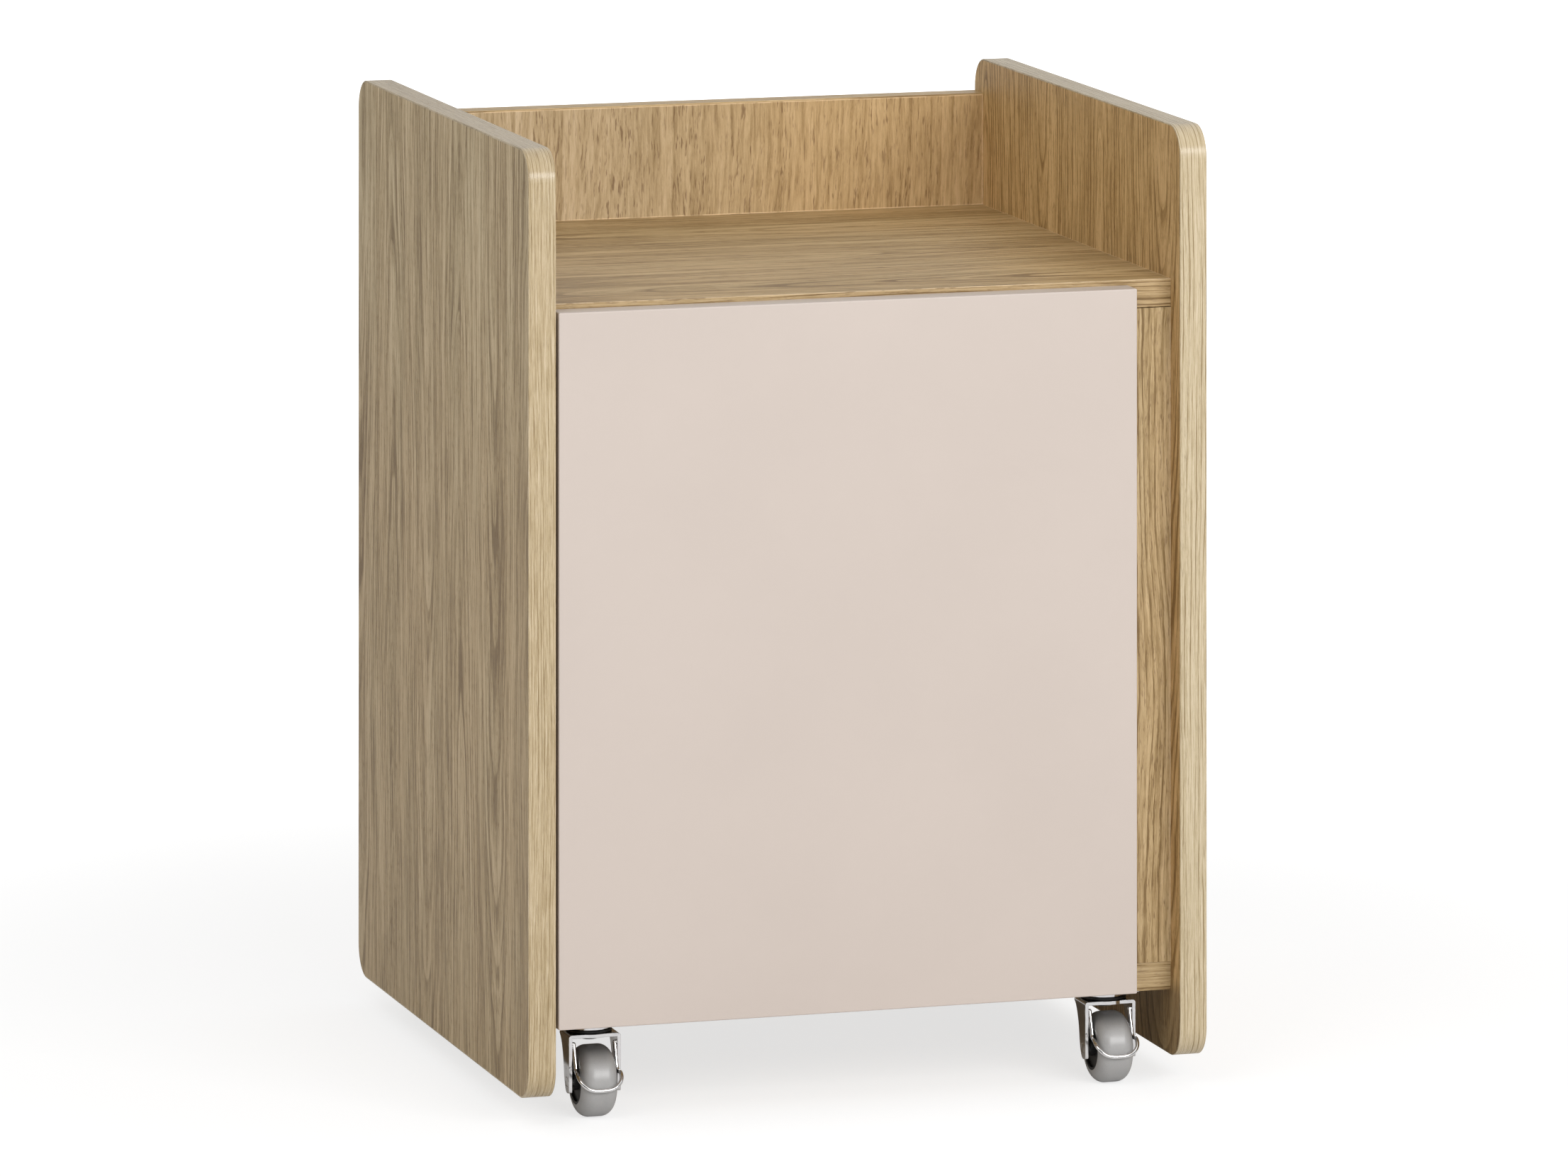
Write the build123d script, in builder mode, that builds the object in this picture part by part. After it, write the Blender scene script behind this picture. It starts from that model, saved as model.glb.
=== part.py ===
from build123d import *
import os

os.makedirs("parts", exist_ok=True)

# Bedside cabinet with one door, on four swivel casters. Millimetres, +Z up, front towards -Y,
# left towards -X, origin on the floor under the centre of the carcass.

# ---------------------------------------------------------------- shared dimensions
cab_w = 450.0            # overall width over the two side panels
cab_d = 422.0            # side panel depth
board = 18.0             # board thickness
band = 1.0               # edge band thickness
band_r = 0.6             # eased edge of the side and back bands
strip_r = 0.5            # eased edge of the front strips and the stile
recess = 18.7            # front edge of shelf and bottom board behind the side panels

bottom_z = 61.0          # underside of the bottom board
shelf_z = 498.4          # underside of the open top shelf
inner_z = 283.0          # underside of the adjustable inner shelf

fit = 0.05               # clearance of loose fits
hole_extra = 0.5         # blind holes run this much past what sits in them
screw_in = 12.0          # depth of hinge plate and caster screws in the boards
screw_hole = 13.0        # depth of their holes

inner = cab_w / 2 - board       # inner face of a side panel
y_front = -cab_d / 2
y_back = cab_d / 2
y_shelf = y_front + recess
y_panel = y_back - board        # front face of the back panel
back_y = (y_panel + y_back) / 2
bottom_top = bottom_z + board
board_mids = (bottom_z + board / 2, shelf_z + board / 2)

# Dowels
dowel_r, dowel_l = 4.0, 30.0
dowel_in = 12.0          # dowel depth in the side and back panels
dowel_rest = dowel_l - dowel_in
board_dowels = [(y, z) for y in (-125.0, 125.0) for z in board_mids]    # y, z
back_side_dowels = [(back_y, z) for z in (150.0, 330.0, 550.0)]         # y, z
side_dowels = board_dowels + back_side_dowels
back_dowels = [(x, z) for x in (-120, 120) for z in board_mids]         # x, z

# Cam fittings: a housing let into the board and a bolt into the side panel
cam_r, cam_h, cam_in = 7.5, 12.5, 24.0
bolt_r, bolt_in = 3.0, 11.0
cam_ys = (-95.0, 95.0)
cam_bolt_spots = [(y, z) for y in cam_ys for z in board_mids]           # y, z
cam_spots = [(s * (inner - cam_in), y) for s in (-1, 1) for y in cam_ys]  # x, y

# Pins under the inner shelf
shelf_pin_r, shelf_pin_l, shelf_pin_in = 2.5, 17, 10
shelf_pin_z = inner_z - shelf_pin_r
shelf_pin_ys = (-130.0, 150.0)
shelf_pin_pitch = 32
shelf_pin_holes = [
    (y, shelf_pin_z + i * shelf_pin_pitch) for y in shelf_pin_ys for i in range(-2, 3)
]

# Door
door_x0, door_x1 = -205.2, 178.0
door_z0, door_z1 = 63.6, 513.2
door_t = 18.0
door_back = y_front + door_t    # rear face of the door

# Hinges, on the left
hinge_in = 90.0          # hinge centre from the door's top and bottom ends
hinges = {"lower": door_z0 + hinge_in, "upper": door_z1 - hinge_in}
plate_y = door_back + 37.0      # screw line of the hinge plate
plate_screw_dz = 16
plate_hole_r = 1.9
plate_screw_spots = [
    (plate_y, z + d) for z in hinges.values() for d in (-plate_screw_dz, plate_screw_dz)
]

# Magnetic catches and bumpers, opposite the hinges
stile_w = 55.0
stile_x0 = inner - stile_w
catch_x = stile_x0 + 13.0
catch_spots = [(catch_x, z) for z in (160.0, 417.0)]
bumper_spots = [(catch_x, z) for z in (90.0, 487.0)]
magnet_r = 5.0

# Casters: place of each swivel axis
caster_x, caster_y = 171.8, 162.0
caster_xy = {
    "front_left": (-caster_x, -caster_y),
    "front_right": (caster_x, -caster_y),
    "rear_left": (-caster_x, caster_y),
    "rear_right": (caster_x, caster_y),
}
plate_screw_xy = 16.0    # caster screws from the swivel axis, in x and y


def caster_screw_spots(x, y):
    return [(x + i * plate_screw_xy, y + j * plate_screw_xy) for i in (-1, 1) for j in (-1, 1)]


def front_plane(y):
    """Plane at depth y that faces the front: a positive extrusion runs towards -Y."""
    return Plane.XZ.offset(-y)


def save(shape, name):
    shape.label = name
    export_step(shape, f"parts/{name}.step")


# ---------------------------------------------------------------- side panels
side_h = 596.0
side_z = 19.0 + side_h / 2      # mid height; the underside is 19 above the floor
side_r = 20.0                   # corner radius
core_d, core_h, core_r = cab_d - 2 * band, side_h - 2 * band, side_r - band


# The core sits inside its own perimeter band. All its holes open on the inner face.
def side_panel(sign):
    face = Plane.YZ.offset(sign * inner)
    holes = [
        (side_dowels, dowel_r + fit, dowel_in + hole_extra),
        (cam_bolt_spots, bolt_r + fit, bolt_in + hole_extra),
        (shelf_pin_holes, shelf_pin_r + fit, shelf_pin_in + hole_extra),
    ]
    if sign < 0:
        holes.append((plate_screw_spots, plate_hole_r, screw_hole))
    with BuildPart() as panel:
        with BuildSketch(face):
            with Locations((0, side_z)):
                RectangleRounded(core_d, core_h, core_r)
        extrude(amount=sign * board)
        for spots, radius, depth in holes:
            with BuildSketch(face):
                with Locations(*spots):
                    Circle(radius)
            extrude(amount=sign * depth, mode=Mode.SUBTRACT)
    return panel.part


def side_band(sign):
    face = Plane.YZ.offset(sign * inner)
    with BuildPart() as ring:
        with BuildSketch(face):
            with Locations((0, side_z)):
                RectangleRounded(cab_d, side_h, side_r)
        extrude(amount=sign * board)
        sides = ring.faces().sort_by(Axis.X)
        fillet(sides[0].edges() + sides[-1].edges(), radius=band_r)
        with BuildSketch(face):
            with Locations((0, side_z)):
                RectangleRounded(core_d, core_h, core_r)
        extrude(amount=sign * board, mode=Mode.SUBTRACT)
    return ring.part


for tag, sign in (("left", -1), ("right", 1)):
    save(side_panel(sign), f"side_panel_{tag}")
    save(side_band(sign), f"side_edge_band_{tag}")

# ---------------------------------------------------------------- horizontal boards
inner_half = inner - 0.7        # half width of the loose inner shelf
inner_front = -172.0


# The fixed boards run from their front strip back to the back panel. Dowels and cam fittings,
# let in from below, hold them to the side panels.
def cross_board(z0, for_casters):
    mid = z0 + board / 2
    y0 = y_shelf + band
    with BuildPart() as slab:
        with BuildSketch(Plane.XY.offset(z0)):
            with Locations((0, (y0 + y_panel) / 2)):
                Rectangle(2 * inner, y_panel - y0)
        extrude(amount=board)
        for s in (-1, 1):
            for ys, radius, depth in (
                ((-125.0, 125.0), dowel_r + fit, dowel_rest + hole_extra),
                (cam_ys, bolt_r + fit, cam_in - 2),
            ):
                with BuildSketch(Plane.YZ.offset(s * inner)):
                    with Locations(*[(y, mid) for y in ys]):
                        Circle(radius)
                extrude(amount=-s * depth, mode=Mode.SUBTRACT)
        with BuildSketch(Plane.XY.offset(z0)):
            with Locations(*cam_spots):
                Circle(cam_r + fit)
        extrude(amount=cam_h + hole_extra, mode=Mode.SUBTRACT)
        with BuildSketch(front_plane(y_panel)):
            with Locations((-120, mid), (120, mid)):
                Circle(dowel_r + fit)
        extrude(amount=dowel_rest + hole_extra, mode=Mode.SUBTRACT)
        if for_casters:
            with BuildSketch(Plane.XY.offset(z0)):
                for x, y in caster_xy.values():
                    with Locations(*caster_screw_spots(x, y)):
                        Circle(2.02)
            extrude(amount=screw_hole, mode=Mode.SUBTRACT)
    return slab.part


def front_strip(half_w, y0, z0):
    with BuildPart() as strip:
        with BuildSketch(Plane.XY.offset(z0)):
            with Locations((0, y0 + band / 2)):
                Rectangle(2 * half_w, band)
        extrude(amount=board)
        fillet(strip.edges().filter_by(Axis.X).group_by(Axis.Y)[0], radius=strip_r)
    return strip.part


def inner_shelf():
    y0, y1 = inner_front + band, y_panel - 1
    with BuildPart() as shelf:
        with BuildSketch(Plane.XY.offset(inner_z)):
            with Locations((0, (y0 + y1) / 2)):
                Rectangle(2 * inner_half, y1 - y0)
        extrude(amount=board)
    return shelf.part


save(cross_board(shelf_z, False), "top_shelf")
save(front_strip(inner, y_shelf, shelf_z), "top_shelf_edge")
save(cross_board(bottom_z, True), "bottom_board")
save(front_strip(inner, y_shelf, bottom_z), "bottom_board_edge")
save(inner_shelf(), "inner_shelf")
save(front_strip(inner_half, inner_front, inner_z), "inner_shelf_edge")

# ---------------------------------------------------------------- back panel
back_core_top = 592.0 - band    # the band on top brings it to 592


def back_panel():
    with BuildPart() as panel:
        with BuildSketch(front_plane(y_panel)):
            with Locations((0, (bottom_z + back_core_top) / 2)):
                Rectangle(2 * inner, back_core_top - bottom_z)
        extrude(amount=-board)
        with BuildSketch(front_plane(y_panel)):
            with Locations(*back_dowels):
                Circle(dowel_r + fit)
        extrude(amount=-(dowel_in + hole_extra), mode=Mode.SUBTRACT)
        for s in (-1, 1):
            with BuildSketch(Plane.YZ.offset(s * inner)):
                with Locations(*back_side_dowels):
                    Circle(dowel_r + fit)
            extrude(amount=-s * (dowel_rest + hole_extra), mode=Mode.SUBTRACT)
    return panel.part


def back_panel_edge():
    with BuildPart() as strip:
        with BuildSketch(Plane.XY.offset(back_core_top)):
            with Locations((0, back_y)):
                Rectangle(2 * inner, board)
        extrude(amount=band)
        fillet(strip.edges().filter_by(Axis.X).group_by(Axis.Z)[-1], radius=band_r)
    return strip.part


save(back_panel(), "back_panel")
save(back_panel_edge(), "back_panel_edge")

# ---------------------------------------------------------------- stile behind the finger gap
stile_gap = 0.4          # joint line above the stile


def grip_stile():
    with BuildPart() as stile:
        with BuildSketch(Plane.XY.offset(bottom_top)):
            with Locations(((stile_x0 + inner) / 2, y_shelf + board / 2)):
                Rectangle(stile_w, board)
        extrude(amount=shelf_z - stile_gap - bottom_top)
        # The front left upright edge
        uprights = stile.edges().filter_by(Axis.Z)
        fillet(uprights.sort_by(lambda e: e.center().X + e.center().Y)[0], radius=strip_r)
        with BuildSketch(front_plane(y_shelf)):
            with Locations(*catch_spots):
                Circle(magnet_r + fit)
        extrude(amount=-9.0, mode=Mode.SUBTRACT)
    return stile.part


def catch_magnets():
    with BuildPart() as magnets:
        with BuildSketch(front_plane(y_shelf + 0.1)):
            with Locations(*catch_spots):
                Circle(magnet_r)
        extrude(amount=-8.0)
    return magnets.part


save(grip_stile(), "grip_stile")
save(catch_magnets(), "catch_magnets")


# ---------------------------------------------------------------- joinery and shelf pins
def shelf_pins():
    with BuildPart() as pins:
        for s in (-1, 1):
            with BuildSketch(Plane.YZ.offset(s * (inner + shelf_pin_in))):
                with Locations(*[(y, shelf_pin_z) for y in shelf_pin_ys]):
                    Circle(shelf_pin_r)
            extrude(amount=-s * shelf_pin_l)
    return pins.part


def dowels():
    with BuildPart() as pegs:
        for s in (-1, 1):
            with BuildSketch(Plane.YZ.offset(s * (inner + dowel_in))):
                with Locations(*side_dowels):
                    Circle(dowel_r)
            extrude(amount=-s * dowel_l)
        with BuildSketch(front_plane(y_panel + dowel_in)):
            with Locations(*back_dowels):
                Circle(dowel_r)
        extrude(amount=dowel_l)
    return pegs.part


# Housings with a cross slot in the underside
def cam_housings():
    slot_l, slot_w, slot_depth = 8, 1.6, 2.5
    with BuildPart() as cams:
        for z0 in (bottom_z, shelf_z):
            with BuildSketch(Plane.XY.offset(z0)):
                with Locations(*cam_spots):
                    Circle(cam_r)
            extrude(amount=cam_h)
            with BuildSketch(Plane.XY.offset(z0)):
                with Locations(*cam_spots):
                    Rectangle(slot_l, slot_w)
                    Rectangle(slot_w, slot_l)
            extrude(amount=slot_depth, mode=Mode.SUBTRACT)
    return cams.part


def cam_bolts():
    with BuildPart() as bolts:
        for s in (-1, 1):
            with BuildSketch(Plane.YZ.offset(s * (inner + bolt_in))):
                with Locations(*cam_bolt_spots):
                    Circle(bolt_r)
            # Stops 0.1 short of the housing
            extrude(amount=-s * (bolt_in + cam_in - cam_r - 0.1))
    return bolts.part


save(shelf_pins(), "shelf_pins")
save(dowels(), "dowels")
save(cam_housings(), "cam_housings")
save(cam_bolts(), "cam_bolts")

# ---------------------------------------------------------------- hinges, fixed side
plate_base_t, plate_pad_t = 1.8, 1.2
arm_half = 7.0           # half height of the arm
arm_wall = 1.3           # top and bottom walls of the arm
arm_x0 = -inner + plate_base_t + plate_pad_t
arm_x1 = -inner + 13.0
arm_screw_y = plate_y + 6
arm_screw_r = 2.0

# Plan outlines of the arm and of the hollow in it: x, y
arm_outline = [
    (arm_x0, -130), (arm_x0, -184), (arm_x0 + 3, door_back + 2), (arm_x1 + 8, door_back + 2),
    (arm_x1 + 8, door_back + 5), (arm_x1, -178), (arm_x1 - 1, -130),
]
arm_hollow = [
    (arm_x0 - 1, -129), (arm_x0 - 1, -182), (arm_x0 + 6, -182),
    (arm_x1 - 2, -176), (arm_x1 - 2.5, -129),
]


# A base plate on the side panel, with a raised pad across it
def hinge_plate(zh):
    with BuildPart() as plate:
        with BuildSketch(Plane.YZ.offset(-inner)):
            with Locations((plate_y, zh)):
                RectangleRounded(18, 46, 4)
        extrude(amount=plate_base_t)
        with BuildSketch(Plane.YZ.offset(-inner + plate_base_t)):
            with Locations((plate_y + 2, zh)):
                Rectangle(34, 11)
        extrude(amount=plate_pad_t)
        with BuildSketch(Plane.YZ.offset(-inner)):
            with Locations((plate_y, zh - plate_screw_dz), (plate_y, zh + plate_screw_dz)):
                Circle(plate_hole_r)
            with Locations((arm_screw_y, zh)):
                Circle(arm_screw_r + fit)
        extrude(amount=plate_base_t + plate_pad_t, mode=Mode.SUBTRACT)
    return plate.part


def hinge_arm(zh):
    with BuildPart() as arm:
        with BuildSketch(Plane.XY.offset(zh - arm_half)):
            with BuildLine():
                Polyline(*arm_outline, close=True)
            make_face()
        extrude(amount=2 * arm_half)
        with BuildSketch(Plane.XY.offset(zh - arm_half + arm_wall)):
            with BuildLine():
                Polyline(*arm_hollow, close=True)
            make_face()
        extrude(amount=2 * arm_half - 2 * arm_wall, mode=Mode.SUBTRACT)
        with BuildSketch(Plane.YZ.offset(arm_x0)):
            with Locations((arm_screw_y, zh)):
                Circle(arm_screw_r + fit)
        extrude(amount=20, mode=Mode.SUBTRACT)
        fillet(arm.edges().filter_by(Axis.Z).sort_by(Axis.X)[-2:], radius=1.2)
    return arm.part


# For each hinge two plate screws and one arm screw, each a shank and a head
def hinge_screws():
    head_t = 1.6
    arm_screw_x = -inner + 0.2
    with BuildPart() as screws:
        for zh in hinges.values():
            plate_spots = [(plate_y, zh - plate_screw_dz), (plate_y, zh + plate_screw_dz)]
            arm_spots = [(arm_screw_y, zh)]
            for spots, x0, radius, length in (
                (plate_spots, -inner - screw_in, 1.85, screw_in + plate_base_t),
                (plate_spots, -inner + plate_base_t, 3.6, head_t),
                (arm_spots, arm_screw_x, arm_screw_r, arm_x1 - arm_screw_x),
                (arm_spots, arm_x1, 3.4, head_t),
            ):
                with BuildSketch(Plane.YZ.offset(x0)):
                    with Locations(*spots):
                        Circle(radius)
                extrude(amount=length)
    return screws.part


for tag, zh in hinges.items():
    save(hinge_plate(zh), f"hinge_plate_{tag}")
    save(hinge_arm(zh), f"hinge_arm_{tag}")
save(hinge_screws(), "hinge_screws")

# ---------------------------------------------------------------- door
door_w, door_h = door_x1 - door_x0, door_z1 - door_z0
door_centre = ((door_x0 + door_x1) / 2, (door_z0 + door_z1) / 2)
door_core_w, door_core_h = door_w - 2 * band, door_h - 2 * band
door_corner_r = 0.9
door_band_r = 0.8        # eased edge of the door band

cup_r, cup_depth = 17.5, 11.5
cup_x = door_x0 + 22.5   # cup centre, from the door's hinge edge
cup_flange_t = 1.2
cup_screw_dz = 22.5
cup_screw_in = 10
cup_hole_r = 1.5
cup_spots = [(cup_x, z) for z in hinges.values()]
cup_screw_spots = [
    (cup_x, z + d) for z in hinges.values() for d in (-cup_screw_dz, cup_screw_dz)
]

strike_r, strike_t = 6.0, 1.0
bumper_r, bumper_in = 2.0, 6.0  # stem of a bumper


def door_panel():
    with BuildPart() as panel:
        with BuildSketch(front_plane(y_front)):
            with Locations(door_centre):
                Rectangle(door_core_w, door_core_h)
        extrude(amount=-door_t)
        for spots, radius, depth in (
            (cup_spots, cup_r, cup_depth),
            (cup_screw_spots, cup_hole_r, cup_screw_in + hole_extra),
            (catch_spots, strike_r + fit, strike_t + fit),
            (bumper_spots, bumper_r + fit, bumper_in + hole_extra),
        ):
            with BuildSketch(front_plane(door_back)):
                with Locations(*spots):
                    Circle(radius)
            extrude(amount=depth, mode=Mode.SUBTRACT)
    return panel.part


def door_edge_band():
    with BuildPart() as ring:
        with BuildSketch(front_plane(y_front)):
            with Locations(door_centre):
                RectangleRounded(door_w, door_h, door_corner_r)
        extrude(amount=-door_t)
        sides = ring.faces().sort_by(Axis.Y)
        fillet(sides[0].edges() + sides[-1].edges(), radius=door_band_r)
        with BuildSketch(front_plane(y_front)):
            with Locations(door_centre):
                Rectangle(door_core_w, door_core_h)
        extrude(amount=-door_t, mode=Mode.SUBTRACT)
    return ring.part


# A cup let into the door, with a flange and two screw ears on the door's rear face
def hinge_cup(zh):
    flange = front_plane(door_back + cup_flange_t)
    with BuildPart() as cup:
        with BuildSketch(front_plane(door_back)):
            with Locations((cup_x, zh)):
                Circle(cup_r - fit)
        extrude(amount=cup_depth - 0.1)
        with BuildSketch(front_plane(door_back)):
            with Locations((cup_x, zh)):
                RectangleRounded(16, 56, 5)
                Circle(cup_r + 0.8)
        extrude(amount=-cup_flange_t)
        with BuildSketch(flange):
            with Locations((cup_x, zh)):
                Circle(cup_r - 1.3)
        extrude(amount=cup_depth, mode=Mode.SUBTRACT)
        with BuildSketch(flange):
            with Locations((cup_x, zh - cup_screw_dz), (cup_x, zh + cup_screw_dz)):
                Circle(cup_hole_r)
        extrude(amount=cup_flange_t, mode=Mode.SUBTRACT)
    return cup.part


def cup_screws():
    flange = front_plane(door_back + cup_flange_t)
    with BuildPart() as screws:
        # Shanks forward into the door, heads to the rear
        for radius, length in ((1.45, cup_flange_t + cup_screw_in), (3.2, -1.3)):
            with BuildSketch(flange):
                with Locations(*cup_screw_spots):
                    Circle(radius)
            extrude(amount=length)
    return screws.part


def strike_discs():
    with BuildPart() as discs:
        with BuildSketch(front_plane(door_back)):
            with Locations(*catch_spots):
                Circle(strike_r)
        extrude(amount=strike_t)
    return discs.part


def door_bumpers():
    with BuildPart() as bumpers:
        # Stems in the door, thin heads on its rear face
        for radius, length in ((bumper_r, bumper_in), (4.0, -0.5)):
            with BuildSketch(front_plane(door_back)):
                with Locations(*bumper_spots):
                    Circle(radius)
            extrude(amount=length)
    return bumpers.part


save(door_panel(), "door_panel")
save(door_edge_band(), "door_edge_band")
for tag, zh in hinges.items():
    save(hinge_cup(zh), f"hinge_cup_{tag}")
save(cup_screws(), "cup_screws")
save(strike_discs(), "strike_discs")
save(door_bumpers(), "door_bumpers")

# ---------------------------------------------------------------- casters
# Built about the swivel axis, with the wheel ahead of it, then placed.
wheel_r, wheel_w = 22.5, 23.6
wheel_y = -9.0           # wheel centre, ahead of the swivel axis
shoulder_r = 8.0         # rounded shoulder of the tyre
hub_r = 14.4
hub_side = wheel_w / 2 - 0.3    # side face of the hub
boss_r = 5.6
axle_r = 3.0
fork_in, fork_t = 14.8, 2.2     # inner face and thickness of the fork ears
fork_out = fork_in + fork_t
ear_front, ear_rear = -5.3, 16.7    # ear edges in y, from the wheel centre
head_z0, head_t = 50.2, 2.2
head_top = head_z0 + head_t
seal_z0, seal_z1, seal_r = 52.5, 54.2, 14.6
king_r = 4.0             # king pin radius
plate_t, plate_w = 2.0, 44.0
plate_z0 = bottom_z - plate_t
sink_depth = 1.65        # countersinks and screw heads, at 45 degrees
wire_r = 1.25
brake_y, brake_z = -3.2, 24.0   # brake hinge line, from the wheel centre


def wheel_point(y, z):
    """(y, z) measured from the wheel centre."""
    return (wheel_y + y, wheel_r + z)


def wire_point(x, y, z):
    return Vector(x, *wheel_point(y, z))


# A screwed plate with a round collar below, bored for the king pin
def caster_plate():
    with BuildPart() as plate:
        with BuildSketch(Plane.XY.offset(plate_z0)):
            RectangleRounded(plate_w, plate_w, 6)
        extrude(amount=plate_t)
        with BuildSketch(Plane.XY.offset(seal_z1)):
            Circle(seal_r - 0.6)
        extrude(amount=plate_z0 - seal_z1)
        lowest = plate.faces().filter_by(Axis.Z).group_by(Axis.Z)[0]
        fillet(lowest.edges(), radius=0.8)
        with BuildSketch(Plane.XY.offset(seal_z1)):
            Circle(king_r + fit)
        extrude(amount=20, mode=Mode.SUBTRACT)
        with BuildSketch(Plane.XY.offset(plate_z0)):
            with Locations(*caster_screw_spots(0, 0)):
                Circle(2.05)
        extrude(amount=plate_t, mode=Mode.SUBTRACT)
        with BuildSketch(Plane.XY.offset(plate_z0)):
            with Locations(*caster_screw_spots(0, 0)):
                Circle(3.75)
        extrude(amount=sink_depth, taper=45, mode=Mode.SUBTRACT)
    return plate.part


def swivel_seal():
    with BuildPart() as seal:
        with BuildSketch(Plane.XY.offset(seal_z0)):
            Circle(seal_r)
            Circle(king_r + fit, mode=Mode.SUBTRACT)
        extrude(amount=seal_z1 - seal_z0)
        # The lower outer edge
        outer = seal.edges().filter_by(GeomType.CIRCLE).sort_by(SortBy.RADIUS)[-2:]
        fillet(outer.sort_by(Axis.Z)[0], radius=0.6)
    return seal.part


def king_pin():
    with BuildPart() as pin:
        with BuildSketch(Plane.XY.offset(head_z0 - 0.1)):
            Circle(king_r)
        extrude(amount=bottom_z - 0.2 - head_z0)
        with BuildSketch(Plane.XY.offset(head_z0 - 0.1)):
            Circle(6.5)
        extrude(amount=-2.6)
        fillet(pin.edges().group_by(Axis.Z)[0], radius=1.2)
    return pin.part


# A flat head with an ear down each side of the wheel
def fork():
    y0, y1 = wheel_y + ear_front, wheel_y + ear_rear
    front_low = wheel_point(ear_front, -4.6)
    under_axle = wheel_point(2.6, -5.2)
    with BuildPart() as body:
        with BuildSketch(Plane.XY.offset(head_z0)):
            with Locations((0, (y0 + y1) / 2)):
                Rectangle(2 * fork_out, ear_rear - ear_front)
            Circle(15.6)
        extrude(amount=head_t)
        for s in (-1, 1):
            with BuildSketch(Plane.YZ.offset(s * fork_in)):
                with BuildLine():
                    Line((y0, head_top), front_low)
                    Spline(front_low, wheel_point(-2.6, -6.9), under_axle,
                           tangents=((0, -1), (0.6, 0.8)))
                    Spline(under_axle, wheel_point(5.8, 2.5), wheel_point(7.6, 12.1),
                           wheel_point(10.6, 20.5), (y1, head_z0),
                           tangents=((0.6, 0.8), (0.9, 0.45)))
                    Line((y1, head_z0), (y1, head_top))
                    Line((y1, head_top), (y0, head_top))
                make_face()
            extrude(amount=s * fork_t)
        # The upper outer edges, where the head turns down into the ears
        fillet(
            body.edges().filter_by(Axis.Y).filter_by(
                lambda e: abs(abs(e.center().X) - fork_out) < 0.01
                and abs(e.center().Z - head_top) < 0.01
            ),
            radius=1.9,
        )
        with BuildSketch(Plane.XY.offset(head_z0)):
            Circle(king_r + fit)
        extrude(amount=head_t, mode=Mode.SUBTRACT)
        with BuildSketch(Plane.YZ.offset(-fork_out)):
            with Locations((wheel_y, wheel_r)):
                Circle(axle_r + fit)
            with Locations(wheel_point(brake_y, brake_z)):
                Circle(wire_r + 0.08)
        extrude(amount=2 * fork_out, mode=Mode.SUBTRACT)
    return body.part


def axle():
    with BuildPart() as rod:
        with BuildSketch(Plane.YZ.offset(-fork_out)):
            with Locations((wheel_y, wheel_r)):
                Circle(axle_r)
        extrude(amount=2 * fork_out)
        ends = rod.edges().group_by(Axis.X)
        chamfer(ends[0] + ends[-1], length=0.3)
    return rod.part


# A disc with a ring recess and a projecting boss on each side
def hub():
    rim_w, recess_depth, boss_out = 1.6, 1.6, 1.8
    with BuildPart() as disc:
        with BuildSketch(Plane.YZ.offset(-hub_side)):
            with Locations((wheel_y, wheel_r)):
                Circle(hub_r)
        extrude(amount=2 * hub_side)
        for s in (-1, 1):
            with BuildSketch(Plane.YZ.offset(s * hub_side)):
                with Locations((wheel_y, wheel_r)):
                    Circle(hub_r - rim_w)
                    Circle(boss_r, mode=Mode.SUBTRACT)
            extrude(amount=-s * recess_depth, mode=Mode.SUBTRACT)
            with BuildSketch(Plane.YZ.offset(s * hub_side)):
                with Locations((wheel_y, wheel_r)):
                    Circle(boss_r)
            extrude(amount=s * boss_out)
        with BuildSketch(Plane.YZ.offset(-fork_in)):
            with Locations((wheel_y, wheel_r)):
                Circle(axle_r + fit)
        extrude(amount=2 * fork_in, mode=Mode.SUBTRACT)
    return disc.part


def tyre():
    side = wheel_w / 2
    flat = side - shoulder_r            # half width of the flat tread
    bore_z = wheel_r + hub_r
    tread_z = 2 * wheel_r
    shoulder_z = tread_z - shoulder_r
    diagonal = shoulder_r * 0.5 ** 0.5  # arc midpoint from the arc centre, in x and z
    with BuildPart() as ring:
        with BuildSketch(front_plane(wheel_y)):
            with BuildLine():
                Line((-side, bore_z), (side, bore_z))
                Line((side, bore_z), (side, shoulder_z))
                ThreePointArc((side, shoulder_z), (flat + diagonal, shoulder_z + diagonal),
                              (flat, tread_z))
                Line((flat, tread_z), (-flat, tread_z))
                ThreePointArc((-flat, tread_z), (-flat - diagonal, shoulder_z + diagonal),
                              (-side, shoulder_z))
                Line((-side, shoulder_z), (-side, bore_z))
            make_face()
        revolve(axis=Axis((0, wheel_y, wheel_r), (1, 0, 0)))
    return ring.part


# One bent wire: two hooked ends in the fork ears, two legs beside the tyre, and a loop bent
# forward from the legs to lie in front of the tread.
leg_x = 13.4
# Right half of the loop, from the leg to the middle: x, y, z from the wheel centre
loop_half = [(leg_x, -8.4, 9.6), (13.9, -13.4, 7.2), (13.6, -18.8, 4.2), (8.6, -23.0, -0.8)]
loop_middle = (0, -24.2, -2.0)


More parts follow.
